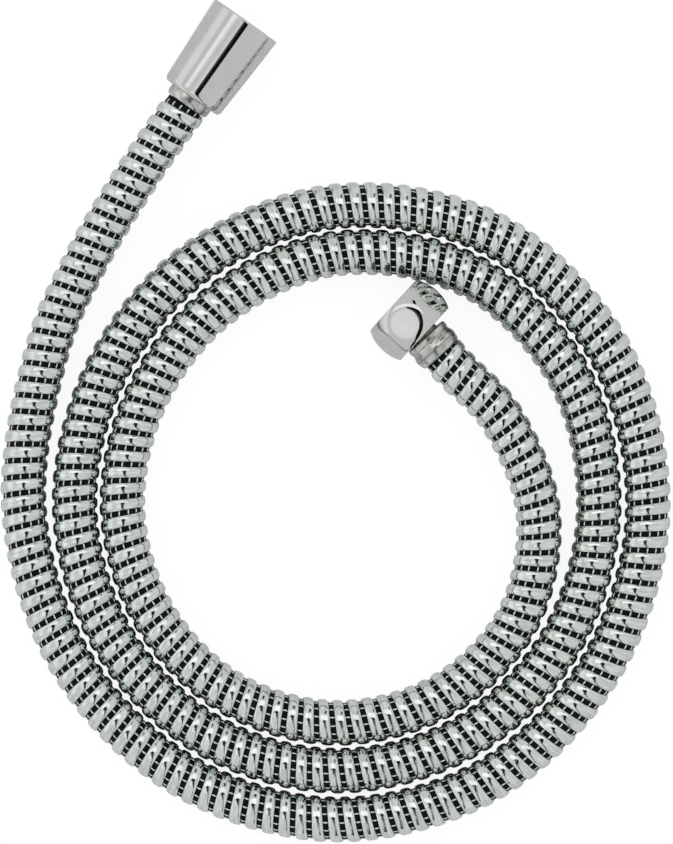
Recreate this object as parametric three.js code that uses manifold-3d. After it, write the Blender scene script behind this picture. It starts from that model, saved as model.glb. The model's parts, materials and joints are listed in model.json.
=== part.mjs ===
// Shower hose: a ribbed hose wound into a flat spiral, with a conical union nut on its outer end
// and a hexagonal union nut on its inner end. Millimetres, +Z up, lying on the plane z = 0.
import * as THREE from "three";
import { mergeVertices } from "three/addons/utils/BufferGeometryUtils.js";
import Module from "manifold-3d";

const wasm = await Module();
wasm.setup();

// Clearances
const restGap = 0.3; // between pieces that touch
const neckPlay = 1.2; // between a nut and the neck of its tail, so that the loose nut can lean
const flangePlay = 1.1; // between the flange of a tail and the thread
const ferrulePlay = 0.85; // between the ferrule and the conical nut round it

// Hose: a jacket over a water tube
const hoseDiameter = 14.8; // over the ribs
const jacketWall = 1.7;
const tubeWall = 1.0;
const hoseSides = 12;
const tubeSides = 8;
const stepsPerPoint = 2; // sections from one point of the route to the next

// Thread and seal, the same on both ends: G1/2
const threadMinorDiameter = 18.6;
const threadLeadIn = 0.6; // 45 degree bevel at the mouth
const washerThickness = 1.8;
const washerWidth = 3.0;

// Tails, the inserts in the ends of the hose: flange, neck and stem
const flangeThickness = 1.6;
const neckStep = 1.3; // the neck is this much thicker than the stem, on the radius
const tailWall = 0.95;

// Conical nut
const coneLength = 30.2;
const coneMouthWall = 2.85;
const coneRearWall = 2.2;
const coneRearRound = 1.3;
const coneRimBevel = 0.35;
const coneShoulderDepth = 13.5; // from the mouth to the face that pulls on the flange
const coneShoulderThickness = 2.5;

// Hexagonal nut, its corners turned off on a ball
const hexLength = 13.7;
const hexWall = 2.5; // between the thread and the middle of a flat
const hexCornerRise = 1.3; // of the ball over the middle of a flat
const hexBallSetBack = 0.45; // the ball's centre lies this far behind the middle of the nut
const hexShoulderThickness = 2.0;
const hexCornerOffVertical = 22; // degrees, as the nut lies
const hexLean = 4.8; // degrees that the loose nut leans on its tail, seen from above
const hexTailSlope = 2.5; // degrees that the tail runs downhill

// Ferrules, the sleeves pressed over the ends of the hose
const ferruleRise = 0.15; // over the ribs of the hose
const ferruleWeb = 1.0; // front wall, round the neck
const ferruleBevel = 0.3; // of the front rim
const ferruleEndDrop = 0.3; // the rear rim lies this much under the ribs
const coneFerruleShowing = 3.3; // stands out of the conical nut
const coneFerruleTaper = 1.6; // length that narrows to the rear rim
const hexFerruleTaper = 0.7;

// Outside of the hexagonal end's ferrule before that taper, stretch by stretch from its front:
// length, and rise over the front rim where the stretch ends
const hexFerruleStretches = [
  [1.5, 0], // ring
  [0.4, -0.3],
  [0.5, -0.3], // groove
  [1.6, 0.35],
  [1.4, 0.2], // bulge
  [1.5, -0.1],
];

// The route of the hose's centreline about the middle of the spiral, from the conical nut inwards.
// A point of a loose stretch has degrees turned, radius and lift off the floor. The end of the
// hose has no lift, because its height comes from its nut.
const outerRoute = [
  [110.15, 139.25],
  [120, 126.1, 1.8],
  [135, 113.7, 0.7],
  [150, 106.6, 0.1],
];
const innerRoute = [
  [1050, 68.2, 0.3],
  [1080, 65.4, 1.4],
  [1110, 61.5, 3.1],
  [1129, 60.1, 4.2],
  [1135.85, 61.3],
];

// The coil lies on the floor. It has a radius at each even step of turn.
const coilStart = 180;
const coilStep = 30;
const coilRadii = [
  100.1, 97.8, 97.9, 99.0, 99.4, 99.2, 100.7, 102.5, 102.9, 98.4, 91.9, 86.3,
  83.8, 82.4, 82.6, 83.3, 83.7, 83.9, 84.9, 87.2, 87.7, 83.2, 76.2, 70.9,
  68.4, 67.1, 67.3, 67.9, 68.4,
];

const coneHeading = 234.6; // degrees in plan, from the mouth towards the hose
const hexTailHeading = 312.6;

// Fineness of the turned faces
const turnedSides = 40;
const nutSides = 48;
const roundSteps = 4;

const degrees = THREE.MathUtils.degToRad;
const up = new THREE.Vector3(0, 0, 1);

const along = (origin, direction, distance) => origin.clone().addScaledVector(direction, distance);

// Unit vector that runs level at the given heading, or downhill by the given slope.
function headingVector(heading, slope = 0) {
  const level = Math.cos(degrees(slope));
  return new THREE.Vector3(
    level * Math.cos(degrees(heading)),
    level * Math.sin(degrees(heading)),
    -Math.sin(degrees(slope)),
  );
}

// A group whose own +Y runs along direction, whose +Z is as near to up as it can be.
function groupAlong(origin, direction) {
  const side = new THREE.Vector3().crossVectors(direction, up).normalize();
  const above = new THREE.Vector3().crossVectors(side, direction);
  const group = new THREE.Group();
  group.quaternion.setFromRotationMatrix(new THREE.Matrix4().makeBasis(side, direction, above));
  group.position.copy(origin);
  return group;
}

// A turned piece from the closed outline of one half of its section, as [depth, radius] pairs.
// Depth runs along +Y.
function turned(outline, sides = turnedSides) {
  const points = [...outline, outline[0]].map(([depth, radius]) => new THREE.Vector2(radius, depth));
  return new THREE.LatheGeometry(points, sides);
}

// Points of a quarter round of an outline, from the side towards the end face.
function quarterRound(depth, radius, size) {
  return Array.from({ length: roundSteps + 1 }, (_, i) => {
    const angle = ((Math.PI / 2) * i) / roundSteps;
    return [depth - size + size * Math.sin(angle), radius - size + size * Math.cos(angle)];
  });
}

function solidFrom(geometry) {
  const plain = geometry.clone();
  plain.deleteAttribute("normal");
  plain.deleteAttribute("uv");
  const merged = mergeVertices(plain);
  return new wasm.Manifold(
    new wasm.Mesh({
      numProp: 3,
      vertProperties: merged.attributes.position.array,
      triVerts: new Uint32Array(merged.index.array),
    }),
  );
}

function geometryFrom(solid) {
  const mesh = solid.getMesh();
  const geometry = new THREE.BufferGeometry();
  geometry.setAttribute("position", new THREE.BufferAttribute(mesh.vertProperties, 3));
  geometry.setIndex(new THREE.BufferAttribute(mesh.triVerts, 1));
  geometry.computeVertexNormals();
  return geometry;
}

// A regular polygon with a corner on the first axis, for the section of a hose.
function polygonPoints(radius, sides) {
  return Array.from({ length: sides }, (_, i) => {
    const angle = (2 * Math.PI * i) / sides;
    return new THREE.Vector2(radius * Math.cos(angle), radius * Math.sin(angle));
  });
}

// Part of a longer curve, stepped evenly between the points of that curve, so that neighbouring
// turns of the spiral have their sections side by side.
class Stretch extends THREE.Curve {
  constructor(whole, from, to) {
    super();
    this.whole = whole;
    this.from = from;
    this.to = to;
  }

  getPoint(t, target) {
    return this.whole.getPoint(this.from + (this.to - this.from) * t, target);
  }

  getUtoTmapping(u) {
    return u;
  }
}

function hoseLayer(outerRadius, boreRadius, sides, path, steps) {
  const section = new THREE.Shape(polygonPoints(outerRadius, sides));
  section.holes.push(new THREE.Path(polygonPoints(boreRadius, sides).reverse()));
  return new THREE.ExtrudeGeometry(section, { steps, extrudePath: path, bevelEnabled: false });
}

const chrome = new THREE.MeshStandardMaterial({ color: 0xd6d8d8, roughness: 0.06, metalness: 1 });
const satinSilver = new THREE.MeshStandardMaterial({ color: 0xb4b8b5, roughness: 0.3, metalness: 0.8 });
const brass = new THREE.MeshStandardMaterial({ color: 0xb08d4c, roughness: 0.3, metalness: 1 });
const blackRubber = new THREE.MeshStandardMaterial({ color: 0x1b1d1c, roughness: 0.7, metalness: 0 });
const blackTube = new THREE.MeshStandardMaterial({ color: 0x141817, roughness: 0.5, metalness: 0 });
const silverRibs = new THREE.MeshStandardMaterial({ color: 0xc6cac8, roughness: 0.2, metalness: 0.7 });

function piece(name, geometry, material) {
  const mesh = new THREE.Mesh(geometry, material);
  mesh.name = name;
  return mesh;
}

// Radii that follow from the sizes above, from the water way outwards
const jacketRadius = hoseDiameter / 2;
const jacketBoreRadius = jacketRadius - jacketWall;
const tubeRadius = jacketBoreRadius * Math.cos(Math.PI / hoseSides) - restGap;
const tubeBoreRadius = tubeRadius - tubeWall;
const stemRadius = tubeBoreRadius * Math.cos(Math.PI / tubeSides) - restGap;
const waterWayRadius = stemRadius - tailWall;
const neckRadius = stemRadius + neckStep;
const nutHoleRadius = neckRadius + neckPlay;
const webBoreRadius = neckRadius + restGap;
const ferruleBoreRadius = tubeRadius + restGap;
const ferruleRadius = jacketRadius + ferruleRise;
const ferruleEndRadius = jacketRadius - ferruleEndDrop;
const threadRadius = threadMinorDiameter / 2;
const threadMouthRadius = threadRadius + threadLeadIn;
const flangeRadius = threadRadius - flangePlay;
const coneMouthRadius = threadRadius + coneMouthWall;
const coneRearBoreRadius = ferruleRadius + ferrulePlay;
const coneRearRadius = coneRearBoreRadius + coneRearWall;
const hexFlatRadius = threadRadius + hexWall;
const hexBallRadius = hexFlatRadius + hexCornerRise;

// The hexagonal nut leans by this much on its tail, and so flange and ferrule stand off further.
const hexTilt = Math.acos(Math.cos(degrees(hexLean)) * Math.cos(degrees(hexTailSlope)));
const flangeStandOff = (tilt) => restGap + flangeRadius * Math.sin(tilt);
const ferruleStandOff = (tilt) => restGap + ferruleRadius * Math.sin(tilt);

// Depths from the mouth of a nut, measured along its tail
function endDepths(shoulderDepth, shoulderEnd, tilt, ferruleLength) {
  const flangeRear = shoulderDepth - flangeStandOff(tilt);
  const flangeFront = flangeRear - flangeThickness;
  const washerRear = flangeFront - restGap;
  const ferruleFront = shoulderEnd + ferruleStandOff(tilt);
  const webRear = ferruleFront + ferruleWeb;
  const hoseEnd = ferruleFront + ferruleLength;
  return {
    washerFront: washerRear - washerThickness,
    washerRear,
    flangeFront,
    flangeRear,
    ferruleFront,
    webRear,
    tubeEnd: webRear + restGap,
    insertEnd: hoseEnd - restGap,
    hoseEnd,
  };
}

const coneShoulderEnd = coneShoulderDepth + coneShoulderThickness;
const coneFerruleLength = coneLength + coneFerruleShowing - coneShoulderEnd - ferruleStandOff(0);
const cone = endDepths(coneShoulderDepth, coneShoulderEnd, 0, coneFerruleLength);
const hexShoulderDepth = hexLength - hexShoulderThickness;
const hexFerruleLength = hexFerruleStretches.reduce((sum, [length]) => sum + length, hexFerruleTaper);
const hex = endDepths(hexShoulderDepth, hexLength, hexTilt, hexFerruleLength);
const hexPivotDepth = hex.flangeRear; // nut and tail lean about the rear face of the flange

// The conical nut lies on its side, so its axis runs downhill towards the hose.
const coneSlopeAngle = Math.atan((coneMouthRadius - coneRearRadius) / coneLength);
const coneDirection = headingVector(coneHeading, THREE.MathUtils.radToDeg(coneSlopeAngle));
const coneMouthHeight = coneMouthRadius * Math.cos(coneSlopeAngle);
const coneHoseHeight = coneMouthHeight + coneDirection.z * cone.hoseEnd;

// The hexagonal nut lies level on the nearer edge of its lowest turned-off corner.
const hexFlatHalfAngle = Math.acos(hexFlatRadius / hexBallRadius);
const hexEdgeOffVertical = degrees(hexCornerOffVertical) - (Math.PI / 6 - hexFlatHalfAngle);
const hexAxisHeight = hexBallRadius * Math.cos(hexEdgeOffVertical);
const hexDirection = headingVector(hexTailHeading + hexLean);
const hexTailDirection = headingVector(hexTailHeading, hexTailSlope);
const hexHoseHeight = hexAxisHeight + hexTailDirection.z * (hex.hoseEnd - hexPivotDepth);

function routePoint(turn, radius, height) {
  return new THREE.Vector3(
    radius * Math.cos(degrees(turn)),
    radius * Math.sin(degrees(turn)),
    height,
  );
}

const [coneHoseEndPlan, ...outerPoints] = outerRoute;
const hexHoseEndPlan = innerRoute[innerRoute.length - 1];
const coilPoints = coilRadii.map((radius, i) => [coilStart + coilStep * i, radius, 0]);
const coneHoseEnd = routePoint(...coneHoseEndPlan, coneHoseHeight);
const hexHoseEnd = routePoint(...hexHoseEndPlan, hexHoseHeight);
const route = [...outerPoints, ...coilPoints, ...innerRoute.slice(0, -1)].map(
  ([turn, radius, lift]) => routePoint(turn, radius, jacketRadius + lift),
);

const coneMouth = along(coneHoseEnd, coneDirection, -cone.hoseEnd);
const hexPivot = along(hexHoseEnd, hexTailDirection, hexPivotDepth - hex.hoseEnd);
const hexMouth = along(hexPivot, hexDirection, -hexPivotDepth);
const hexTailOrigin = along(hexPivot, hexTailDirection, -hexPivotDepth);

// The centreline of the water tube, which runs on into both ferrules
const centreline = new THREE.CatmullRomCurve3([
  along(coneHoseEnd, coneDirection, cone.tubeEnd - cone.hoseEnd),
  coneHoseEnd,
  ...route,
  hexHoseEnd,
  along(hexHoseEnd, hexTailDirection, hex.tubeEnd - hex.hoseEnd),
]);
const spans = centreline.points.length - 1;

function hoseJacket() {
  const path = new Stretch(centreline, 1 / spans, 1 - 1 / spans);
  const steps = (spans - 2) * stepsPerPoint;
  const geometry = hoseLayer(jacketRadius, jacketBoreRadius, hoseSides, path, steps);
  return piece("hose_jacket", geometry, silverRibs);
}

function waterTube() {
  const path = new Stretch(centreline, 0, 1);
  const geometry = hoseLayer(tubeRadius, tubeBoreRadius, tubeSides, path, spans * stepsPerPoint);
  return piece("water_tube", geometry, blackTube);
}

function tail(name, depths) {
  const outline = [
    [depths.flangeFront, waterWayRadius],
    [depths.flangeFront, flangeRadius],
    [depths.flangeRear, flangeRadius],
    [depths.flangeRear, neckRadius],
    [depths.webRear, neckRadius],
    [depths.webRear, stemRadius],
    [depths.insertEnd - tailWall, stemRadius],
    [depths.insertEnd, stemRadius - tailWall / 2],
    [depths.insertEnd, waterWayRadius],
  ];
  return piece(name, turned(outline), brass);
}

function washer(name, depths) {
  const outline = [
    [depths.washerFront, flangeRadius - washerWidth],
    [depths.washerFront, flangeRadius],
    [depths.washerRear, flangeRadius],
    [depths.washerRear, flangeRadius - washerWidth],
  ];
  return piece(name, turned(outline), blackRubber);
}

// A ferrule grips the tube behind a web that closes round the neck of the tail. Its outside runs
// from the front rim through the stretches to the rear rim.
function ferrule(name, depths, stretches) {
  const outline = [
    [depths.webRear, webBoreRadius],
    [depths.ferruleFront, webBoreRadius],
    [depths.ferruleFront, ferruleRadius - ferruleBevel],
    [depths.ferruleFront + ferruleBevel, ferruleRadius],
  ];
  let depth = depths.ferruleFront;
  for (const [length, rise] of stretches) {
    depth += length;
    outline.push([depth, ferruleRadius + rise]);
  }
  outline.push(
    [depths.insertEnd, ferruleEndRadius],
    [depths.insertEnd, ferruleBoreRadius],
    [depths.webRear, ferruleBoreRadius],
  );
  return piece(name, turned(outline), satinSilver);
}

function coneNut() {
  const outline = [
    [0, threadMouthRadius],
    [0, coneMouthRadius - coneRimBevel],
    [coneRimBevel, coneMouthRadius],
    ...quarterRound(coneLength, coneRearRadius, coneRearRound),
    [coneLength, coneRearBoreRadius],
    [coneShoulderEnd, coneRearBoreRadius],
    [coneShoulderEnd, nutHoleRadius],
    [coneShoulderDepth, nutHoleRadius],
    [coneShoulderDepth, threadRadius],
    [threadLeadIn, threadRadius],
  ];
  return piece("cone_nut", turned(outline, nutSides), chrome);
}

function hexNut() {
  const cornerRadius = hexFlatRadius / Math.cos(Math.PI / 6);
  const turn = -degrees(hexCornerOffVertical);
  const prism = new THREE.CylinderGeometry(cornerRadius, cornerRadius, hexLength, 6, 1, false, turn);
  prism.translate(0, hexLength / 2, 0);
  const ball = new THREE.SphereGeometry(hexBallRadius, nutSides, nutSides / 2);
  ball.translate(0, hexLength / 2 + hexBallSetBack, 0);
  const cutterPast = 1; // beyond both ends of the nut
  const cutter = turned(
    [
      [-cutterPast, 0],
      [-cutterPast, threadMouthRadius + cutterPast],
      [threadLeadIn, threadRadius],
      [hexShoulderDepth, threadRadius],
      [hexShoulderDepth, nutHoleRadius],
      [hexLength + cutterPast, nutHoleRadius],
      [hexLength + cutterPast, 0],
    ],
    nutSides,
  );
  const solid = solidFrom(prism).intersect(solidFrom(ball)).subtract(solidFrom(cutter));
  return piece("hex_nut", geometryFrom(solid), chrome);
}

const coneEnd = groupAlong(coneMouth, coneDirection);
coneEnd.add(
  coneNut(),
  washer("cone_washer", cone),
  tail("cone_tail", cone),
  ferrule("cone_ferrule", cone, [[coneFerruleLength - coneFerruleTaper, 0]]),
);

const hexNutPlace = groupAlong(hexMouth, hexDirection);
hexNutPlace.add(hexNut());

const hexTailPlace = groupAlong(hexTailOrigin, hexTailDirection);
hexTailPlace.add(
  washer("hex_washer", hex),
  tail("hex_tail", hex),
  ferrule("hex_ferrule", hex, hexFerruleStretches),
);

const laidOut = new THREE.Group();
laidOut.add(hoseJacket(), waterTube(), coneEnd, hexNutPlace, hexTailPlace);

// The middle of the whole outline goes to the origin, and its lowest point to z = 0.
const box = new THREE.Box3().setFromObject(laidOut, true);
const middle = box.getCenter(new THREE.Vector3());
laidOut.position.set(-middle.x, -middle.y, -box.min.z);

const showerHose = new THREE.Group();
showerHose.name = "shower_hose";
showerHose.add(laidOut);

export default showerHose;
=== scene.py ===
import bpy
import json
import math
import numpy as np
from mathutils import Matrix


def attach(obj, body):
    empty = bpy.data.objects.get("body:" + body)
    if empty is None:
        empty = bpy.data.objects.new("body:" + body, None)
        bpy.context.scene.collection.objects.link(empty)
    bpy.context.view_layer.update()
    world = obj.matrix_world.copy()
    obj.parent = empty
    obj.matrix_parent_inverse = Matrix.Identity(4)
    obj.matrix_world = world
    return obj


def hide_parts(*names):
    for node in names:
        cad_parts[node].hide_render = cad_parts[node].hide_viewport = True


# A ribbed shower hose that lies as a loose flat spiral, with a conical union nut on its outer end
# and a hexagonal union nut on its inner end. Metres, +Z up.

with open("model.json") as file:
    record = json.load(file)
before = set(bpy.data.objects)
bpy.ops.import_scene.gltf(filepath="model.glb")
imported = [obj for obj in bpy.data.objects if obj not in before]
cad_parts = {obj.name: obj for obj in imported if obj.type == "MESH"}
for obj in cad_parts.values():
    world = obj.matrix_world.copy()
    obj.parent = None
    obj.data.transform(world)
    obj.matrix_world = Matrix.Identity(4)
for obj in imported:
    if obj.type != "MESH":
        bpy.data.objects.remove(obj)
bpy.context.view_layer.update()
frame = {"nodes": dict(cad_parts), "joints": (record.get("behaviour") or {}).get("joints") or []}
joints = {joint["name"]: joint for joint in frame["joints"]}
up = np.array([0.0, 0.0, 1.0])
print("frame loaded")

# Camera, straight above the spiral with a long lens
camera = {
    "imageSize": (673, 844),
    "height": 2.0,
    "viewWidth": 0.21675,  # seen across the picture at the height of the hose's middle
    "viewCentre": (0.00017, -0.00023),
    "focusHeight": 0.0074,
    "clipEnd": 20.0,
}


def makeCamera():
    data = bpy.data.cameras.new("camera")
    width, height = camera["imageSize"]
    viewHeight = camera["viewWidth"] * height / width  # the sensor's width fits the long side
    data.lens = data.sensor_width * (camera["height"] - camera["focusHeight"]) / viewHeight
    data.clip_end = camera["clipEnd"]
    made = bpy.data.objects.new("camera", data)
    made.location = (*camera["viewCentre"], camera["height"])
    bpy.context.scene.collection.objects.link(made)
    bpy.context.scene.camera = made


makeCamera()

# The hose, and how finely its meshes are divided
hose = {
    "ribDiameter": 0.0148,
    "coreDiameter": 0.01275,  # of the black core between the ribs
    "ribPitch": 0.00525,
    "ribWidth": 0.0038,
    "ribSink": 0.00015,  # of the band's underside in the core
    "ribRoundness": 2.8,  # 2 is a half ellipse, more is flatter on top
    "firstRib": 0.0037,  # from the end of the hose to the first rib, on top
    "lastRib": 0.0029,
    "ribBefore": 5 / 12,  # turns of the band beyond the first rib's top, and beyond the last's
    "ribAfter": 1 / 4,
    "yarnCount": 14,
    "yarnDiameter": 0.0005,
    "yarnRise": 0.0006,  # how far a yarn waves up and down
    "yarnDepth": 0.00055,  # of the middle of its wave under the core's skin
    "yarnStart": 0.35,  # radians round from the hose's left side
    "yarnSway": 0.02,  # radians that a yarn strays to either side
    "yarnSwayPerMetre": 23,  # radians that the sway's sine goes through
}
meshSteps = {
    "pathPerSpan": 60,
    "pathReach": 0.0015,  # either way along the path, for its direction
    "coreRows": 560,
    "coreSides": 30,
    "ribPerTurn": 40,
    "ribPoints": 15,
    "yarnPerTurn": 7,
    "yarnSides": 5,
    "cordPoints": 600,
    "turnedSides": 96,
    "coneNutSides": 128,
    "hexNutSides": 288,
    "hexNutRows": 90,
    "roundingPoints": 6,
}

# The hose's route round the middle of the spiral. A point of a loose stretch has degrees turned,
# radius and lift off the floor, and the coil between them has a radius at each even step of turn.
spiralCentre = (-0.00031, -0.02922, 0.00002)
outerRoute = [
    (120, 0.1261, 0.0018),
    (135, 0.1137, 0.0007),
    (150, 0.1066, 0.0001),
]
coilStart = 180
coilStep = 30
coilRadii = [
    0.1001, 0.0978, 0.0979, 0.0990, 0.0994, 0.0992, 0.1007, 0.1025, 0.1029, 0.0984, 0.0919, 0.0863,
    0.0838, 0.0824, 0.0826, 0.0833, 0.0837, 0.0839, 0.0849, 0.0872, 0.0877, 0.0832, 0.0762, 0.0709,
    0.0684, 0.0671, 0.0673, 0.0679, 0.0684,
]
innerRoute = [
    (1050, 0.0682, 0.0003),
    (1080, 0.0654, 0.0014),
    (1110, 0.0615, 0.0031),
    (1129, 0.0601, 0.0042),
]

# Depths from the mouth of a nut to what lies along its axis
coneEnd = {
    "joint": "cone_nut_spin",
    "jointDepth": 0.005,
    "hoseEnd": 0.0335,
    "tubeEnd": 0.0176,
}
hexEnd = {
    "joint": "hex_nut_spin",
    "jointDepth": 0.005,
    "pivot": 0.01063,  # nut and tail lean about this depth
    "tailHeading": 312.6,
    "tailSlope": 2.5,
    "hoseEnd": 0.02231,
    "tubeEnd": 0.01601,
}


def unit(vectors):
    return vectors / np.linalg.norm(vectors, axis=-1, keepdims=True)


def placeAlong(origin, direction):
    # A place whose along axis is the direction, with above as near to up as it can be
    along = unit(np.array(direction, float))
    left = unit(np.cross(up, along))
    return {"origin": np.array(origin, float), "along": along, "left": left,
            "above": np.cross(along, left)}


def movedAlong(place, distance):
    return {**place, "origin": place["origin"] + distance * place["along"]}


def nutPlace(end):
    joint = joints[end["joint"]]
    inward = -unit(np.array(joint["axis"]))
    return placeAlong(np.array(joint["pos_m"]) - end["jointDepth"] * inward, inward)


conePlace = nutPlace(coneEnd)
hexPlace = nutPlace(hexEnd)
tailTurn, tailSlope = np.radians([hexEnd["tailHeading"], hexEnd["tailSlope"]])
tailDirection = np.array([
    math.cos(tailTurn) * math.cos(tailSlope),
    math.sin(tailTurn) * math.cos(tailSlope),
    -math.sin(tailSlope),
])
hexPivot = movedAlong(hexPlace, hexEnd["pivot"])["origin"]
hexTailPlace = movedAlong(placeAlong(hexPivot, tailDirection), -hexEnd["pivot"])


def catmullRom(points, stepsPerSpan):
    # Centripetal Catmull-Rom: each span is the cubic between its two points whose end slopes weigh
    # the neighbouring chords by the square roots of their lengths
    ends = 2 * points[[0, -1]] - points[[1, -2]]
    padded = np.vstack([ends[:1], points, ends[1:]])
    before, start, stop, after = (padded[i : len(padded) - 3 + i, None] for i in range(4))

    def stretchOf(a, b):
        return np.sqrt(np.linalg.norm(b - a, axis=-1, keepdims=True))

    d0, d1, d2 = stretchOf(before, start), stretchOf(start, stop), stretchOf(stop, after)
    out = d1 * ((start - before) / d0 - (stop - before) / (d0 + d1) + (stop - start) / d1)
    into = d1 * ((stop - start) / d1 - (after - start) / (d1 + d2) + (after - stop) / d2)
    t = (np.arange(stepsPerSpan) / stepsPerSpan)[None, :, None]
    spans = (
        start * (2 * t**3 - 3 * t**2 + 1)
        + out * (t**3 - 2 * t**2 + t)
        + stop * (3 * t**2 - 2 * t**3)
        + into * (t**3 - t**2)
    )
    return np.vstack([spans.reshape(-1, 3), points[-1]])


def routePoints():
    # Round the middle of the spiral: radius * (cos turn, sin turn), half a diameter over the floor
    coil = [(coilStart + coilStep * i, radius, 0.0) for i, radius in enumerate(coilRadii)]
    turn, radius, lift = np.array(outerRoute + coil + innerRoute).T
    turn = np.radians(turn)
    height = hose["ribDiameter"] / 2 + lift
    plan = np.stack([radius * np.cos(turn), radius * np.sin(turn), height], -1)
    return plan + spiralCentre


class HosePath:
    # The hose's centreline, measured from its end at the conical nut
    def __init__(self):
        stepsPerSpan = meshSteps["pathPerSpan"]
        ends = [
            movedAlong(conePlace, coneEnd["tubeEnd"])["origin"],
            movedAlong(conePlace, coneEnd["hoseEnd"])["origin"],
            movedAlong(hexTailPlace, hexEnd["hoseEnd"])["origin"],
            movedAlong(hexTailPlace, hexEnd["tubeEnd"])["origin"],
        ]
        points = catmullRom(np.vstack([ends[:2], routePoints(), ends[2:]]), stepsPerSpan)
        steps = np.linalg.norm(np.diff(points, axis=0), axis=1)
        distance = np.concatenate([[0.0], np.cumsum(steps)])
        self.points = points
        self.distance = distance - distance[stepsPerSpan]
        self.length = self.distance[-1 - stepsPerSpan]

    def at(self, distance):
        # The point that far along it, by straight steps between the centreline's points
        axes = [np.interp(distance, self.distance, axis) for axis in self.points.T]
        return np.stack(axes, -1)

    def around(self, distance, angle, radius):
        # Centreline + radius * (cos angle * left + sin angle * above), left and above across it
        reach = meshSteps["pathReach"]
        along = unit(self.at(distance + reach) - self.at(distance - reach))
        left = unit(np.cross(up, along))
        above = np.cross(along, left)
        angle = np.asarray(angle)[..., None]
        outwards = np.cos(angle) * left + np.sin(angle) * above
        return self.at(distance) + np.asarray(radius)[..., None] * outwards


hosePath = HosePath()
print("hose centreline", round(float(hosePath.length), 4), "m")


# Meshes from grids of points
def meshFrom(name, points, uvs, faces):
    # faces is a list of whole arrays of corner numbers, one row a face. uvs has a place per point.
    mesh = bpy.data.meshes.new(name)
    corners = np.concatenate([block.ravel() for block in faces]).astype(np.int32)
    sizes = np.concatenate([np.full(len(block), block.shape[1]) for block in faces])
    starts = np.concatenate([[0], np.cumsum(sizes)[:-1]]).astype(np.int32)
    mesh.vertices.add(len(points))
    mesh.vertices.foreach_set("co", np.asarray(points, np.float32).ravel())
    mesh.loops.add(len(corners))
    mesh.loops.foreach_set("vertex_index", corners)
    mesh.polygons.add(len(sizes))
    mesh.polygons.foreach_set("loop_start", starts)
    mesh.update(calc_edges=True)
    mesh.uv_layers.new(name="surface")
    mesh.uv_layers["surface"].data.foreach_set("uv", np.asarray(uvs, np.float32).ravel())
    mesh.shade_smooth()
    made = bpy.data.objects.new(name, mesh)
    bpy.context.scene.collection.objects.link(made)
    return made


def gridFaces(rows, columns, joinRows):
    # Each face joins a point, the next in its row and the two above. Each row wraps, and the last
    # row is joined to the first if asked. Its place on the map is (column / columns, row / rows).
    row, column = np.meshgrid(
        np.arange(rows if joinRows else rows - 1), np.arange(columns), indexing="ij"
    )
    corners = [(row, column), (row, column + 1), (row + 1, column + 1), (row + 1, column)]
    numbers = np.stack([r % rows * columns + c % columns for r, c in corners], -1)
    places = np.stack([np.stack([c / columns, r / rows], -1) for r, c in corners], -2)
    return numbers.reshape(-1, 4), places.reshape(-1, 4, 2)


def enclosedVolume(points, quads):
    # A sixth of the sum of a . (b x c) over the two triangles of each quad
    a, b, c, d = (points[quads[:, i]] for i in range(4))
    return ((a * np.cross(b, c)).sum() + (a * np.cross(c, d)).sum()) / 6


def surface(name, grids, uvSize, closedEnds=True):
    # Each grid[row, column] wraps along its rows. Its ends are closed by caps, or by joining its
    # last row to its first. uvSize is how far the piece's map runs round and along.
    faces, uvs, first = [], [], 0
    for grid in grids:
        rows, columns = grid.shape[:2]
        points = grid.reshape(-1, 3)
        quads, quadPlaces = gridFaces(rows, columns, not closedEnds)
        blocks, maps = [quads], [quadPlaces]
        if closedEnds:
            oneRow = np.arange(columns)[None]
            blocks += [oneRow[:, ::-1], (rows - 1) * columns + oneRow]
            maps += [*np.zeros((2, 1, columns, 2))]
        if enclosedVolume(points - points.mean(0), quads) < 0:  # faces then point inwards
            blocks = [block[:, ::-1] for block in blocks]
            maps = [places[:, ::-1] for places in maps]
        faces += [block + first for block in blocks]
        uvs += [(places * uvSize).reshape(-1, 2) for places in maps]
        first += len(points)
    return meshFrom(name, np.vstack([grid.reshape(-1, 3) for grid in grids]), np.vstack(uvs), faces)


# The hose's core, ribs and yarns
def makeHoseCore():
    # A round tube along the centreline
    distance = np.linspace(0.0, hosePath.length, meshSteps["coreRows"])[:, None]
    angle = np.linspace(0.0, 2 * math.pi, meshSteps["coreSides"], endpoint=False)[None]
    grid = hosePath.around(distance, angle, hose["coreDiameter"] / 2)
    return surface("hoseCore", [grid], (1.0, hosePath.length / hose["ribPitch"]))


def ribTurns():
    # Whole turns of rib between the first and the last one on top of the hose, and the even pitch
    ribbed = hosePath.length - hose["firstRib"] - hose["lastRib"]
    turns = round(ribbed / hose["ribPitch"])
    return turns, ribbed / turns


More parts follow.
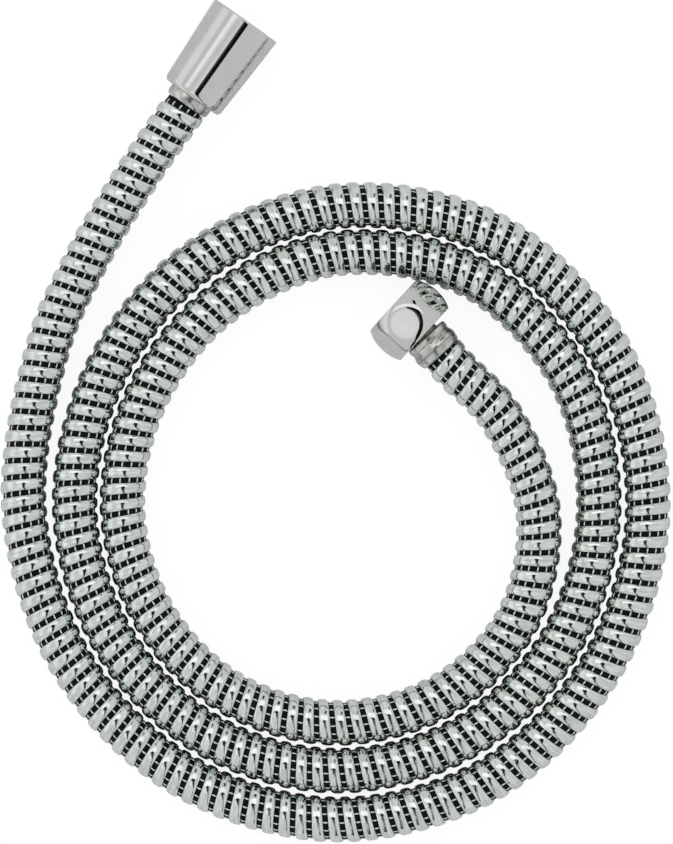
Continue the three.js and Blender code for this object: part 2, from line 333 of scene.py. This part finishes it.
def makeRibs():
    # A right-handed helix at an even pitch that carries half a super-ellipse: across is a sine, and
    # height is (1 - |across| ^ roundness) ^ (1 / roundness)
    turns, pitch = ribTurns()
    top = math.pi / 2
    before, after = hose["ribBefore"], hose["ribAfter"]
    total = turns + before + after
    angle = np.linspace(top - 2 * math.pi * before, top + 2 * math.pi * (turns + after),
                        round(total * meshSteps["ribPerTurn"]))
    centre = hose["firstRib"] + (angle - top) / (2 * math.pi) * pitch
    across = np.sin(np.linspace(-math.pi / 2, math.pi / 2, meshSteps["ribPoints"]))
    roundness = hose["ribRoundness"]
    height = np.clip(1 - np.abs(across) ** roundness, 0, 1) ** (1 / roundness)
    base = hose["coreDiameter"] / 2 - hose["ribSink"]
    radius = base + (hose["ribDiameter"] / 2 - base) * height
    across = across * hose["ribWidth"] / 2
    grid = hosePath.around(centre[:, None] + across, angle[:, None], radius[None])
    third = len(angle) // 3
    parts = {"ribsOuter": grid[: third + 1], "ribsMiddle": grid[third : 2 * third + 1],
             "ribsInner": grid[2 * third :]}
    mapSize = (ribFinish["bandWidth"], third / meshSteps["ribPerTurn"] * ribFinish["bandTurn"])
    return [surface(name, [part], mapSize) for name, part in parts.items()]


def makeYarns():
    # Thin round tubes side by side along the core, whose depth is a cosine of the distance from
    # midway between two ribs: they come out of the core there and sink into it towards the ribs
    turns, pitch = ribTurns()
    rows = (turns + 1) * meshSteps["yarnPerTurn"]
    distance = np.linspace(0.0, hosePath.length, rows)[:, None]
    sweep = np.linspace(0.0, 2 * math.pi, meshSteps["yarnSides"], endpoint=False)[None]
    coreRadius, yarnRadius = hose["coreDiameter"] / 2, hose["yarnDiameter"] / 2
    centimetres = hosePath.length * 100
    sets = {"yarnsEven": [], "yarnsOdd": []}
    for i in range(hose["yarnCount"]):
        start = hose["yarnStart"] + 2 * math.pi * i / hose["yarnCount"]
        angle = start + hose["yarnSway"] * np.sin(distance * hose["yarnSwayPerMetre"] + i)
        turnsFromTop = angle / (2 * math.pi) - 0.25
        fromRib = (distance - hose["firstRib"]) / pitch - turnsFromTop
        rise = -hose["yarnRise"] * np.cos(2 * math.pi * fromRib)
        sets["yarnsOdd" if i % 2 else "yarnsEven"].append(hosePath.around(
            distance,
            angle + np.sin(sweep) * yarnRadius / coreRadius,
            coreRadius - hose["yarnDepth"] + rise + np.cos(sweep) * yarnRadius,
        ))
    return [surface(name, grids, (1.0, centimetres)) for name, grids in sets.items()]


# Turned pieces
thread = {
    "minorRadius": 0.0093,
    "pitch": 0.001814,
    "cut": 0.00116,
    "leadIn": 0.0006,
    "mouthRound": 0.00015,
    "rowStep": 0.00012,
}
turnedMapSize = (6.0, 6.0)


def roundedOutline(corners):
    # A closed outline of (depth, radius, rounding) corners. A rounded corner is a quadratic Bezier
    # from that far before it to that far after it, with one more point beside each end.
    corners = np.array(corners, float)
    points = []
    for i, (*corner, rounding) in enumerate(corners):
        corner = np.array(corner)
        if rounding == 0:
            points.append(corner)
            continue
        back, ahead = (unit(corners[(i + side) % len(corners), :2] - corner) for side in (-1, 1))
        t = np.linspace(0.0, 1.0, meshSteps["roundingPoints"])[:, None]
        start, stop = corner + back * rounding, corner + ahead * rounding
        points.append(start + back * rounding / 3)
        points.extend((1 - t) ** 2 * start + 2 * t * (1 - t) * corner + t**2 * stop)
        points.append(stop + ahead * rounding / 3)
    return np.array(points)


def turned(name, place, corners, sides=meshSteps["turnedSides"], shape=None):
    # origin + depth * along + radius * (cos angle * left + sin angle * above), where shape may
    # change the radius by depth and angle
    depth, radius = roundedOutline(corners).T[:, :, None]
    angle = np.linspace(0.0, 2 * math.pi, sides, endpoint=False)[None]
    radius = np.broadcast_to(radius, (len(depth), sides))
    if shape:
        radius = shape(depth, radius, angle)
    across = radius * np.cos(angle), radius * np.sin(angle)
    grid = (
        place["origin"]
        + depth[..., None] * place["along"]
        + across[0][..., None] * place["left"]
        + across[1][..., None] * place["above"]
    )
    return surface(name, [grid], turnedMapSize, closedEnds=False)


def threadCut(depth, angle, stop):
    # Cut * half of (1 - cos of the turns), turns being depth / pitch - angle / whole turn, faded in
    # over half a pitch at both ends
    turns = depth / thread["pitch"] - angle / (2 * math.pi)
    fadeLength = thread["pitch"] / 2
    fade = np.clip((depth - thread["leadIn"]) / fadeLength, 0, 1)
    fade = fade * np.clip((stop - fadeLength - depth) / fadeLength, 0, 1)
    return thread["cut"] * fade * (0.5 - 0.5 * np.cos(2 * math.pi * turns))


def threadRows(stop):
    # Bore points close enough together to carry the thread, from the back to the mouth
    step = thread["rowStep"]
    depths = np.arange(stop - step, thread["leadIn"], -step)
    return [(depth, thread["minorRadius"], 0) for depth in depths]


def isBore(radius):
    return np.abs(radius - thread["minorRadius"]) < 1e-6


coneNut = {
    "length": 0.0302,
    "mouthRadius": 0.01215,
    "rearRadius": 0.0106,
    "rimRound": 0.0005,
    "rearRound": 0.0016,
    "shoulderDepth": 0.0135,
    "shoulderEnd": 0.016,
    "shoulderRound": 0.0002,
    "rearBoreRadius": 0.0084,
    "rearBoreRound": 0.0003,
    "holeRadius": 0.00609,
}


def makeConeNut():
    # A turned cone with a threaded bore, a shoulder with a hole, and a wider bore behind it
    size = coneNut
    mouthBore = thread["minorRadius"] + thread["leadIn"]
    corners = [
        (thread["leadIn"], thread["minorRadius"], 0),
        (0, mouthBore, thread["mouthRound"]),
        (0, size["mouthRadius"], size["rimRound"]),
        (size["length"], size["rearRadius"], size["rearRound"]),
        (size["length"], size["rearBoreRadius"], size["rearBoreRound"]),
        (size["shoulderEnd"], size["rearBoreRadius"], size["shoulderRound"]),
        (size["shoulderEnd"], size["holeRadius"], size["shoulderRound"]),
        (size["shoulderDepth"], size["holeRadius"], size["shoulderRound"]),
        (size["shoulderDepth"], thread["minorRadius"], 0),
        *threadRows(size["shoulderDepth"]),
    ]

    def shape(depth, radius, angle):
        return radius + isBore(radius) * threadCut(depth, angle, size["shoulderDepth"])

    return turned("coneNut", conePlace, corners, meshSteps["coneNutSides"], shape)


hexNut = {
    "length": 0.0137,
    "flatRadius": 0.0118,
    "ballRadius": 0.0131,
    "ballDepth": 0.0073,
    "rimRound": 0.00025,
    "edgeRound": 0.0003,
    "shoulderDepth": 0.0117,
    "shoulderRound": 0.0002,
    "holeRadius": 0.00609,
    "cornerOffVertical": 22,  # degrees
}


def makeHexNut():
    # The smaller of a ball and six flats, blended: -k log(exp(-ball / k) + exp(-flat / k))
    size = hexNut
    mouthBore = thread["minorRadius"] + thread["leadIn"]

    def ball(depth):
        return math.sqrt(size["ballRadius"] ** 2 - (depth - size["ballDepth"]) ** 2)

    margin = 2 * size["rimRound"]
    outside = np.linspace(margin, size["length"] - margin, meshSteps["hexNutRows"])
    corners = [
        (thread["leadIn"], thread["minorRadius"], 0),
        (0, mouthBore, thread["mouthRound"]),
        (0, ball(0), size["rimRound"]),
        *((depth, ball(depth), 0) for depth in outside),
        (size["length"], ball(size["length"]), size["rimRound"]),
        (size["length"], size["holeRadius"], size["shoulderRound"]),
        (size["shoulderDepth"], size["holeRadius"], size["shoulderRound"]),
        (size["shoulderDepth"], thread["minorRadius"], 0),
        *threadRows(size["shoulderDepth"]),
    ]

    def shape(depth, radius, angle):
        sixth = math.pi / 3
        corner = math.pi / 2 - math.radians(size["cornerOffVertical"])
        offFlat = (angle - corner) % sixth - sixth / 2
        flat = size["flatRadius"] / np.cos(offFlat)
        k = size["edgeRound"]
        blended = -k * np.logaddexp(-radius / k, -flat / k)
        cut = isBore(radius) * threadCut(depth, angle, size["shoulderDepth"])
        return np.where(radius > mouthBore + margin, blended, radius) + cut

    return turned("hexNut", hexPlace, corners, meshSteps["hexNutSides"], shape)


# Ferrules, tails and washers, in depths along each tail. A ferrule's outside has the depth behind
# its front, the rise over its radius and the rounding of each corner between its two rims.
coneParts = {
    "washer": (0.0095, 0.0113),
    "flange": (0.0116, 0.0132),
    "ferruleFront": 0.0163,
    "ferruleOutside": [(0.0159, 0.0, 0.0005)],
    "insertEnd": 0.0332,
}
hexParts = {
    "washer": (0.00693, 0.00873),
    "flange": (0.00903, 0.01063),
    "ferruleFront": 0.01471,
    "ferruleOutside": [
        (0.0015, 0.0, 0.0003), (0.0019, -0.0003, 0.00015), (0.0024, -0.0003, 0.0002),
        (0.0040, 0.00035, 0.0006), (0.0054, 0.0002, 0.0006), (0.0069, -0.0001, 0.0004),
    ],
    "insertEnd": 0.02201,
}
insert = {
    "edgeRound": 0.0002,
    "flangeRound": 0.0003,
    "softRound": 0.0004,  # of the washer's rim and the stem's end
    "flangeRadius": 0.0082,
    "washerBoreRadius": 0.0052,
    "neckRadius": 0.00489,
    "stemRadius": 0.00359,
    "waterWayRadius": 0.00264,
    "web": 0.001,
    "lip": 0.00028,
    "lipInset": 0.0004,
    "ferruleRadius": 0.00755,
    "ferruleEndRadius": 0.0071,
    "ferruleBoreRadius": 0.00551,
    "webBoreRadius": 0.00519,
}


def makeWasher(name, place, parts):
    front, rear = parts["washer"]
    corners = [
        (front, insert["washerBoreRadius"], insert["edgeRound"]),
        (front, insert["flangeRadius"], insert["softRound"]),
        (rear, insert["flangeRadius"], insert["softRound"]),
        (rear, insert["washerBoreRadius"], insert["edgeRound"]),
    ]
    return turned(name, place, corners)


def makeTail(name, place, parts):
    front, rear = parts["flange"]
    webRear = parts["ferruleFront"] + insert["web"]
    corners = [
        (front, insert["waterWayRadius"], insert["flangeRound"]),
        (front, insert["flangeRadius"], insert["flangeRound"]),
        (rear, insert["flangeRadius"], insert["flangeRound"]),
        (rear, insert["neckRadius"], 0),
        (webRear, insert["neckRadius"], insert["edgeRound"]),
        (webRear, insert["stemRadius"], 0),
        (parts["insertEnd"], insert["stemRadius"], insert["softRound"]),
        (parts["insertEnd"], insert["waterWayRadius"], 0),
    ]
    return turned(name, place, corners)


def makeFerrule(name, place, parts):
    front, rear = parts["ferruleFront"], parts["insertEnd"]
    full, edge = insert["ferruleRadius"], insert["edgeRound"]
    outside = [
        (front + depth, full + rise, rounding) for depth, rise, rounding in parts["ferruleOutside"]
    ]
    corners = [
        (front + insert["web"], insert["webBoreRadius"], 0),
        (front - insert["lip"], insert["webBoreRadius"], edge),
        (front - insert["lip"], full - insert["lipInset"], edge),
        (front, full, edge),
        *outside,
        (rear, insert["ferruleEndRadius"], edge),
        (rear, insert["ferruleBoreRadius"], 0),
        (front + insert["web"], insert["ferruleBoreRadius"], 0),
    ]
    return turned(name, place, corners)


# Finishes
def node(tree, kind, inputs=(), **settings):
    # A new shader node, whose inputs are each given a value or another node's output
    made = tree.nodes.new("ShaderNode" + kind)
    for name, value in settings.items():
        setattr(made, name, value)
    for name, value in dict(inputs).items():
        socket = made.inputs[name]
        if isinstance(value, bpy.types.NodeSocket):
            tree.links.new(value, socket)
        else:
            socket.default_value = value
    return made


def rgb(red, green, blue):
    return (red, green, blue, 1.0)


wearPattern = {
    "clean": 0.35,  # level of the noise at which a smudge begins
    "smudged": 0.7,  # and at which it is full
    "swell": 3.0,  # height of the smudges against the grain's
}


def makeHandledGroup():
    # Soft smudges and a fine grain, as on any finish that hands and water have been on
    group = bpy.data.node_groups.new("handledFinish", "ShaderNodeTree")
    sockets = [
        ("Vector", "INPUT", "NodeSocketVector"),
        ("Smudge Scale", "INPUT", "NodeSocketFloat"),
        ("Grain Scale", "INPUT", "NodeSocketFloat"),
        ("Smudges", "OUTPUT", "NodeSocketFloat"),
        ("Grain", "OUTPUT", "NodeSocketFloat"),
        ("Height", "OUTPUT", "NodeSocketFloat"),
    ]
    for name, side, kind in sockets:
        group.interface.new_socket(name, in_out=side, socket_type=kind)
    given = group.nodes.new("NodeGroupInput")
    result = group.nodes.new("NodeGroupOutput")
    smudge = node(group, "TexNoise", {"Vector": given.outputs["Vector"],
                                      "Scale": given.outputs["Smudge Scale"], "Detail": 3.0})
    spread = node(group, "MapRange", {"Value": smudge.outputs["Fac"],
                                      "From Min": wearPattern["clean"],
                                      "From Max": wearPattern["smudged"]})
    grain = node(group, "TexNoise", {"Vector": given.outputs["Vector"],
                                     "Scale": given.outputs["Grain Scale"], "Detail": 2.0})
    swell = node(group, "Math", {0: smudge.outputs["Fac"], 1: wearPattern["swell"]},
                 operation="MULTIPLY")
    height = node(group, "Math", {0: swell.outputs[0], 1: grain.outputs["Fac"]}, operation="ADD")
    group.links.new(spread.outputs["Result"], result.inputs["Smudges"])
    group.links.new(grain.outputs["Fac"], result.inputs["Grain"])
    group.links.new(height.outputs[0], result.inputs["Height"])
    return group


handledGroup = makeHandledGroup()


def newMaterial(name):
    material = bpy.data.materials.new(name)
    material.use_nodes = True
    tree = material.node_tree
    return material, tree, tree.nodes["Principled BSDF"]


def handled(tree, vector, smudgeScale, grainScale):
    made = node(tree, "Group", node_tree=handledGroup)
    tree.links.new(vector, made.inputs["Vector"])
    made.inputs["Smudge Scale"].default_value = smudgeScale
    made.inputs["Grain Scale"].default_value = grainScale
    return made


def between(tree, factor, low, high):
    # A value, or a colour, that goes from low to high with the factor
    if isinstance(low, tuple):
        mix = node(tree, "Mix", data_type="RGBA")
        tree.links.new(factor, mix.inputs[0])
        mix.inputs[6].default_value, mix.inputs[7].default_value = low, high
        return mix.outputs[2]
    made = node(tree, "MapRange", {"Value": factor, "To Min": low, "To Max": high})
    return made.outputs["Result"]


def withPaintedEdgeReflection(tree, band, colour, finish):
    # The colour, darkening over the outer part of the band by its map: a painted dark reflection of
    # the black core between the ribs
    middle = finish["bandWidth"] / 2
    across = node(tree, "SeparateXYZ", {"Vector": band}).outputs["X"]
    beside = node(tree, "Math", {0: across, 1: middle}, operation="SUBTRACT").outputs[0]
    off = node(tree, "Math", {0: beside}, operation="ABSOLUTE").outputs[0]
    edge = node(tree, "MapRange", {"Value": off, "From Min": finish["edge"][0] * middle,
                                   "From Max": finish["edge"][1] * middle},
                interpolation_type="SMOOTHSTEP")
    shaded = node(tree, "Mix", data_type="RGBA")
    tree.links.new(edge.outputs["Result"], shaded.inputs[0])
    tree.links.new(colour, shaded.inputs[6])
    shaded.inputs[7].default_value = finish["paintedCoreReflection"]
    return shaded.outputs[2]


def handledMaterial(name, finish):
    # Colour and roughness drift with the smudges, and the height of both gives a faint unevenness.
    # A drawn finish has them stretched along its band, and a painted dark reflection of the black
    # core at the band's edges.
    material, tree, shader = newMaterial(name)
    if "drawn" in finish:
        band = node(tree, "UVMap", uv_map="surface").outputs["UV"]
        place = node(tree, "Mapping", {"Vector": band, "Scale": finish["drawn"]}).outputs[0]
    else:
        place = node(tree, "TexCoord").outputs["Object"]
    wear = handled(tree, place, finish["smudgeScale"], finish["grainScale"])
    colour = between(tree, wear.outputs["Smudges"], finish["colour"], finish["dullColour"])
    if "drawn" in finish:
        # painted dark reflection of the black core on the band's edges
        colour = withPaintedEdgeReflection(tree, band, colour, finish)
    tree.links.new(colour, shader.inputs["Base Color"])
    tree.links.new(between(tree, wear.outputs["Smudges"], *finish["roughness"]),
                   shader.inputs["Roughness"])
    shader.inputs["Metallic"].default_value = finish["metallic"]
    bump = node(tree, "Bump", {"Height": wear.outputs["Height"], "Strength": finish["bump"],
                               "Distance": finish["bumpDepth"]})
    tree.links.new(bump.outputs["Normal"], shader.inputs["Normal"])
    return material


chromeFinish = {
    "colour": rgb(0.64, 0.645, 0.63),
    "dullColour": rgb(0.60, 0.605, 0.59),
    "roughness": (0.02, 0.05),
    "metallic": 1.0,
    "smudgeScale": 180.0,
    "grainScale": 600.0,
    "bump": 0.01,
    "bumpDepth": 0.0001,
}
ferruleFinish = {
    "colour": rgb(0.63, 0.64, 0.615),
    "dullColour": rgb(0.30, 0.31, 0.295),
    "roughness": (0.13, 0.24),
    "metallic": 1.0,
    "smudgeScale": 320.0,
    "grainScale": 1600.0,
    "bump": 0.12,
    "bumpDepth": 0.0003,
}
nickelFinish = {
    "colour": rgb(0.52, 0.50, 0.46),
    "dullColour": rgb(0.38, 0.365, 0.34),
    "roughness": (0.22, 0.4),
    "metallic": 1.0,
    "smudgeScale": 300.0,
    "grainScale": 2500.0,
    "bump": 0.2,
    "bumpDepth": 0.0001,
}
rubberFinish = {
    "colour": rgb(0.012, 0.012, 0.012),
    "dullColour": rgb(0.03, 0.03, 0.03),
    "roughness": (0.6, 0.8),
    "metallic": 0.0,
    "smudgeScale": 350.0,
    "grainScale": 3500.0,
    "bump": 0.3,
    "bumpDepth": 0.0001,
}
tubeFinish = {**rubberFinish, "roughness": (0.35, 0.5)}

ribFinish = {
    "colour": rgb(0.79, 0.835, 0.80),
    "dullColour": rgb(0.55, 0.60, 0.565),
    # colour of the painted dark reflection of the black core, laid over the band's edges
    "paintedCoreReflection": rgb(0.13, 0.17, 0.15),
    "edge": (0.68, 1.0),  # shares of the way from the band's middle to its edge where the painted dark reflection of the core comes in
    "bandWidth": 0.9,  # of the band's map, and its length per turn, in centimetres
    "bandTurn": 4.5,
    "roughness": (0.02, 0.07),
    "metallic": 1.0,
    "drawn": (5.0, 1.0, 1.0),  # finer across the band than along it
    "smudgeScale": 1.6,
    "grainScale": 9.0,
    "bump": 0.14,
    "bumpDepth": 0.0001,
}
coreFinish = {
    "colour": rgb(0.003, 0.007, 0.005),
    "dullColour": rgb(0.007, 0.014, 0.011),
    "roughness": (0.38, 0.55),
    "gloss": 0.05,
    "smudgeScale": 400.0,
    "grainScale": 3000.0,
    "strands": 56,  # fine threads round the core under its skin
    "strandWave": 0.05,
    "bump": 0.5,
    "bumpDepth": 0.0001,
}
yarnFinish = {
    "colour": rgb(0.97, 0.98, 0.97),
    "dullColour": rgb(0.80, 0.83, 0.81),
    "gloss": 1.0,
    "roughness": 0.35,
    "twistStretch": 9.0,  # of the twist's waves along the yarn, whose map is in centimetres
    "twistWave": 0.31,
    "bump": 0.4,
    "bumpDepth": 0.0001,
}


def makeCoreMaterial():
    # Black plastic over fine strands that run along the hose
    finish = coreFinish
    material, tree, shader = newMaterial("blackCore")
    mapPlace = node(tree, "UVMap", uv_map="surface").outputs["UV"]
    strands = node(tree, "Mapping", {"Vector": mapPlace, "Scale": (finish["strands"], 0.0, 0.0)})
    wave = node(tree, "TexWave", {"Vector": strands.outputs[0], "Scale": finish["strandWave"],
                                  "Distortion": 0.0})
    place = node(tree, "TexCoord").outputs["Object"]
    wear = handled(tree, place, finish["smudgeScale"], finish["grainScale"])
    colour = between(tree, wear.outputs["Smudges"], finish["colour"], finish["dullColour"])
    tree.links.new(colour, shader.inputs["Base Color"])
    tree.links.new(between(tree, wear.outputs["Grain"], *finish["roughness"]),
                   shader.inputs["Roughness"])
    shader.inputs["Specular IOR Level"].default_value = finish["gloss"]
    bump = node(tree, "Bump", {"Height": wave.outputs["Fac"], "Strength": finish["bump"],
                               "Distance": finish["bumpDepth"]})
    tree.links.new(bump.outputs["Normal"], shader.inputs["Normal"])
    return material


def makeYarnMaterial():
    # Pale yarn with a slanting twist
    finish = yarnFinish
    material, tree, shader = newMaterial("paleYarn")
    mapPlace = node(tree, "UVMap", uv_map="surface").outputs["UV"]
    slanted = node(tree, "Mapping", {"Vector": mapPlace,
                                     "Scale": (1.0, finish["twistStretch"], 0.0)})
    twist = node(tree, "TexWave", {"Vector": slanted.outputs[0], "Scale": finish["twistWave"],
                                   "Distortion": 0.5}, bands_direction="DIAGONAL")
    colour = between(tree, twist.outputs["Fac"], finish["dullColour"], finish["colour"])
    tree.links.new(colour, shader.inputs["Base Color"])
    shader.inputs["Roughness"].default_value = finish["roughness"]
    shader.inputs["Specular IOR Level"].default_value = finish["gloss"]
    bump = node(tree, "Bump", {"Height": twist.outputs["Fac"], "Strength": finish["bump"],
                               "Distance": finish["bumpDepth"]})
    tree.links.new(bump.outputs["Normal"], shader.inputs["Normal"])
    return material


chrome = handledMaterial("polishedChrome", chromeFinish)
satinSilver = handledMaterial("satinSilver", ferruleFinish)
nickelledBrass = handledMaterial("nickelledBrass", nickelFinish)
blackRubber = handledMaterial("blackRubber", rubberFinish)
blackTube = handledMaterial("blackTube", tubeFinish)
silverRibs = handledMaterial("silverRibs", ribFinish)
blackCore = makeCoreMaterial()
paleYarn = makeYarnMaterial()
print("finishes made")


# Pieces, each on the body that carries it
def dress(piece, material, body, slot, *replaced):
    piece.data.materials.append(material)
    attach(piece, body)
    if replaced:
        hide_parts(*replaced)
    return piece


hoseCore = dress(makeHoseCore(), blackCore, "hose", "ribbed_jacket", "hose_jacket")
ribs = [dress(part, silverRibs, "hose", "ribbed_jacket") for part in makeRibs()]
yarns = [dress(part, paleYarn, "hose", "ribbed_jacket") for part in makeYarns()]
print("hose made")

dress(makeConeNut(), chrome, "cone_nut", "chrome", "cone_nut")
dress(makeFerrule("coneFerrule", conePlace, coneParts),
      satinSilver, "hose", "ferrule", "cone_ferrule")
dress(makeTail("coneTail", conePlace, coneParts),
      nickelledBrass, "hose", "brass_tail", "cone_tail")
dress(makeWasher("coneWasher", conePlace, coneParts),
      blackRubber, "hose", "rubber_washer", "cone_washer")
hexPieces = [
    dress(makeHexNut(), chrome, "hex_nut", "chrome", "hex_nut"),
    dress(makeFerrule("hexFerrule", hexTailPlace, hexParts),
          satinSilver, "hose", "ferrule", "hex_ferrule"),
    dress(makeTail("hexTail", hexTailPlace, hexParts),
          nickelledBrass, "hose", "brass_tail", "hex_tail"),
    dress(makeWasher("hexWasher", hexTailPlace, hexParts),
          blackRubber, "hose", "rubber_washer", "hex_washer"),
]
waterTube = frame["nodes"]["water_tube"]
waterTube.data.materials.clear()
waterTube.data.materials.append(blackTube)
print("end fittings made")

# Floor and studio light, with the dark camera stand and the dark gap that the metal mirrors
studio = {
    "ambient": 0.78,
    "darkDistance": 2.15,  # of the stand and the gap from the middle of the floor
    "darkColour": rgb(0.01, 0.01, 0.01),
    "floorColour": rgb(0.93, 0.93, 0.93),
    "floorHalf": 8.0,
    "floorWhite": 0.84,  # share of plain white in the floor where the camera sees it
    "whiteStrength": 1.08,
    "mattRoughness": 0.9,
}
softboxes = {
    "key": {
        "radiance": 0.48,
        "size": (3.2, 1.6),
        "soft": 0.45,  # width of the fading edge
        "place": (-0.35, 1.0, 2.1),
        "tilt": 0,
    },
    "fill": {
        "radiance": 0.25,
        "size": (1.2, 1.2),
        "soft": 0.4,
        "place": (-0.6, -0.42, 2.1),
        "tilt": 0,
    },
    "wall": {
        "radiance": 0.22,
        "size": (1.7, 3.4),
        "soft": 0.4,
        "place": (-2.2, 0.0, 0.9),
        "tilt": 90,
    },
}
# Degrees off the zenith towards the right and the top of the picture, and half the width there
standOutline = [
    (0.0, 11.0, 10.0), (0.2, 3.0, 10.0), (0.5, -4.0, 7.0),
    (1.0, -14.0, 6.0), (4.0, -24.0, 4.5), (7.0, -36.0, 3.5),
    (9.0, -50.0, 3.5), (9.0, -65.0, 5.0), (9.0, -87.0, 9.0),
]
gapOutline = [(12.0, 42.0, 5.0), (17.0, 50.0, 8.0), (20.0, 62.0, 8.0)]


def directionOf(right, upwards):
    # Off the zenith by the length of (right, upwards), towards it
    off = math.hypot(right, upwards)
    tilt = math.radians(off)
    scale = math.sin(tilt) / off if off else 0.0
    return np.array([right * scale, upwards * scale, math.cos(tilt)])


def mattMaterial(name, colour):
    material, tree, shader = newMaterial(name)
    shader.inputs["Base Color"].default_value = colour
    shader.inputs["Roughness"].default_value = studio["mattRoughness"]
    shader.inputs["Specular IOR Level"].default_value = 0.0
    return material, tree, shader


def makeFloor():
    # A matt floor that the camera sees as mostly plain white, with the hose's soft shade on it
    half = studio["floorHalf"]
    corners = [(-half, -half, 0.0), (half, -half, 0.0), (half, half, 0.0), (-half, half, 0.0)]
    mesh = bpy.data.meshes.new("floor")
    mesh.from_pydata(corners, [], [(0, 1, 2, 3)])
    floor = bpy.data.objects.new("floor", mesh)
    bpy.context.scene.collection.objects.link(floor)
    material, tree, shader = mattMaterial("whiteFloor", studio["floorColour"])
    white = node(tree, "Emission", {"Color": rgb(1, 1, 1), "Strength": studio["whiteStrength"]})
    seen = node(tree, "LightPath").outputs["Is Camera Ray"]
    share = node(tree, "Math", {0: seen, 1: studio["floorWhite"]}, operation="MULTIPLY")
    mix = node(tree, "MixShader", {0: share.outputs[0], 1: shader.outputs[0], 2: white.outputs[0]})
    tree.links.new(mix.outputs[0], tree.nodes["Material Output"].inputs["Surface"])
    mesh.materials.append(material)


def makeDarkPanel(name, outline, material):
    # A strip on a dome over the floor, along the outline's directions
    points = [
        directionOf(right + side * halfWidth, upwards) * studio["darkDistance"]
        for right, upwards, halfWidth in outline
        for side in (-1, 1)
    ]
    mesh = bpy.data.meshes.new(name)
    faces = [(2 * i, 2 * i + 1, 2 * i + 3, 2 * i + 2) for i in range(len(outline) - 1)]
    mesh.from_pydata([tuple(point) for point in points], [], faces)
    mesh.materials.append(material)
    panel = bpy.data.objects.new(name, mesh)
    panel.visible_camera = False
    bpy.context.scene.collection.objects.link(panel)


def makeDarkPanels():
    material = mattMaterial("standBlack", studio["darkColour"])[0]
    makeDarkPanel("cameraStand", standOutline, material)
    makeDarkPanel("studioGap", gapOutline, material)


def fadeTowardsEdge(tree, along, halfSize, soft):
    # 1 in the middle, falling smoothly to 0 over the last stretch before either edge
    off = node(tree, "Math", {0: along}, operation="ABSOLUTE").outputs[0]
    fade = node(tree, "MapRange", {"Value": off, "From Min": halfSize - soft, "From Max": halfSize,
                                   "To Min": 1.0, "To Max": 0.0}, interpolation_type="SMOOTHSTEP")
    return fade.outputs["Result"]


def makeSoftbox(name, box):
    # A panel of light, dimmer towards its edges. Its tilt is in degrees, 0 level and 90 upright.
    halfWidth, halfDepth = box["size"][0] / 2, box["size"][1] / 2
    corners = [(-halfWidth, -halfDepth, 0.0), (-halfWidth, halfDepth, 0.0),
               (halfWidth, halfDepth, 0.0), (halfWidth, -halfDepth, 0.0)]
    mesh = bpy.data.meshes.new(name)
    mesh.from_pydata(corners, [], [(0, 1, 2, 3)])
    material, tree, shader = newMaterial(name + "Light")
    place = node(tree, "SeparateXYZ", {"Vector": node(tree, "TexCoord").outputs["Object"]})
    across = fadeTowardsEdge(tree, place.outputs["X"], halfWidth, box["soft"])
    down = fadeTowardsEdge(tree, place.outputs["Y"], halfDepth, box["soft"])
    level = node(tree, "Math", {0: across, 1: down}, operation="MULTIPLY").outputs[0]
    strength = node(tree, "Math", {0: level, 1: box["radiance"]}, operation="MULTIPLY").outputs[0]
    light = node(tree, "Emission", {"Color": rgb(1, 1, 1), "Strength": strength})
    clear = node(tree, "BsdfTransparent")
    both = node(tree, "AddShader", {0: light.outputs[0], 1: clear.outputs[0]})
    tree.links.new(both.outputs[0], tree.nodes["Material Output"].inputs["Surface"])
    mesh.materials.append(material)
    panel = bpy.data.objects.new(name, mesh)
    panel.location = box["place"]
    panel.rotation_euler.y = math.radians(box["tilt"])
    panel.visible_camera = False
    bpy.context.scene.collection.objects.link(panel)


def makeWorld():
    world = bpy.data.worlds.new("studio")
    world.use_nodes = True
    tree = world.node_tree
    seen = node(tree, "LightPath").outputs["Is Camera Ray"]
    level = node(tree, "MapRange", {"Value": seen, "To Min": studio["ambient"], "To Max": 1.0})
    background = tree.nodes["Background"]
    background.inputs["Color"].default_value = rgb(1, 1, 1)
    tree.links.new(level.outputs["Result"], background.inputs["Strength"])
    bpy.context.scene.world = world


makeFloor()
makeDarkPanels()
for boxName, box in softboxes.items():
    makeSoftbox(boxName, box)
makeWorld()
bpy.context.scene.view_settings.view_transform = "Standard"
print("studio made")
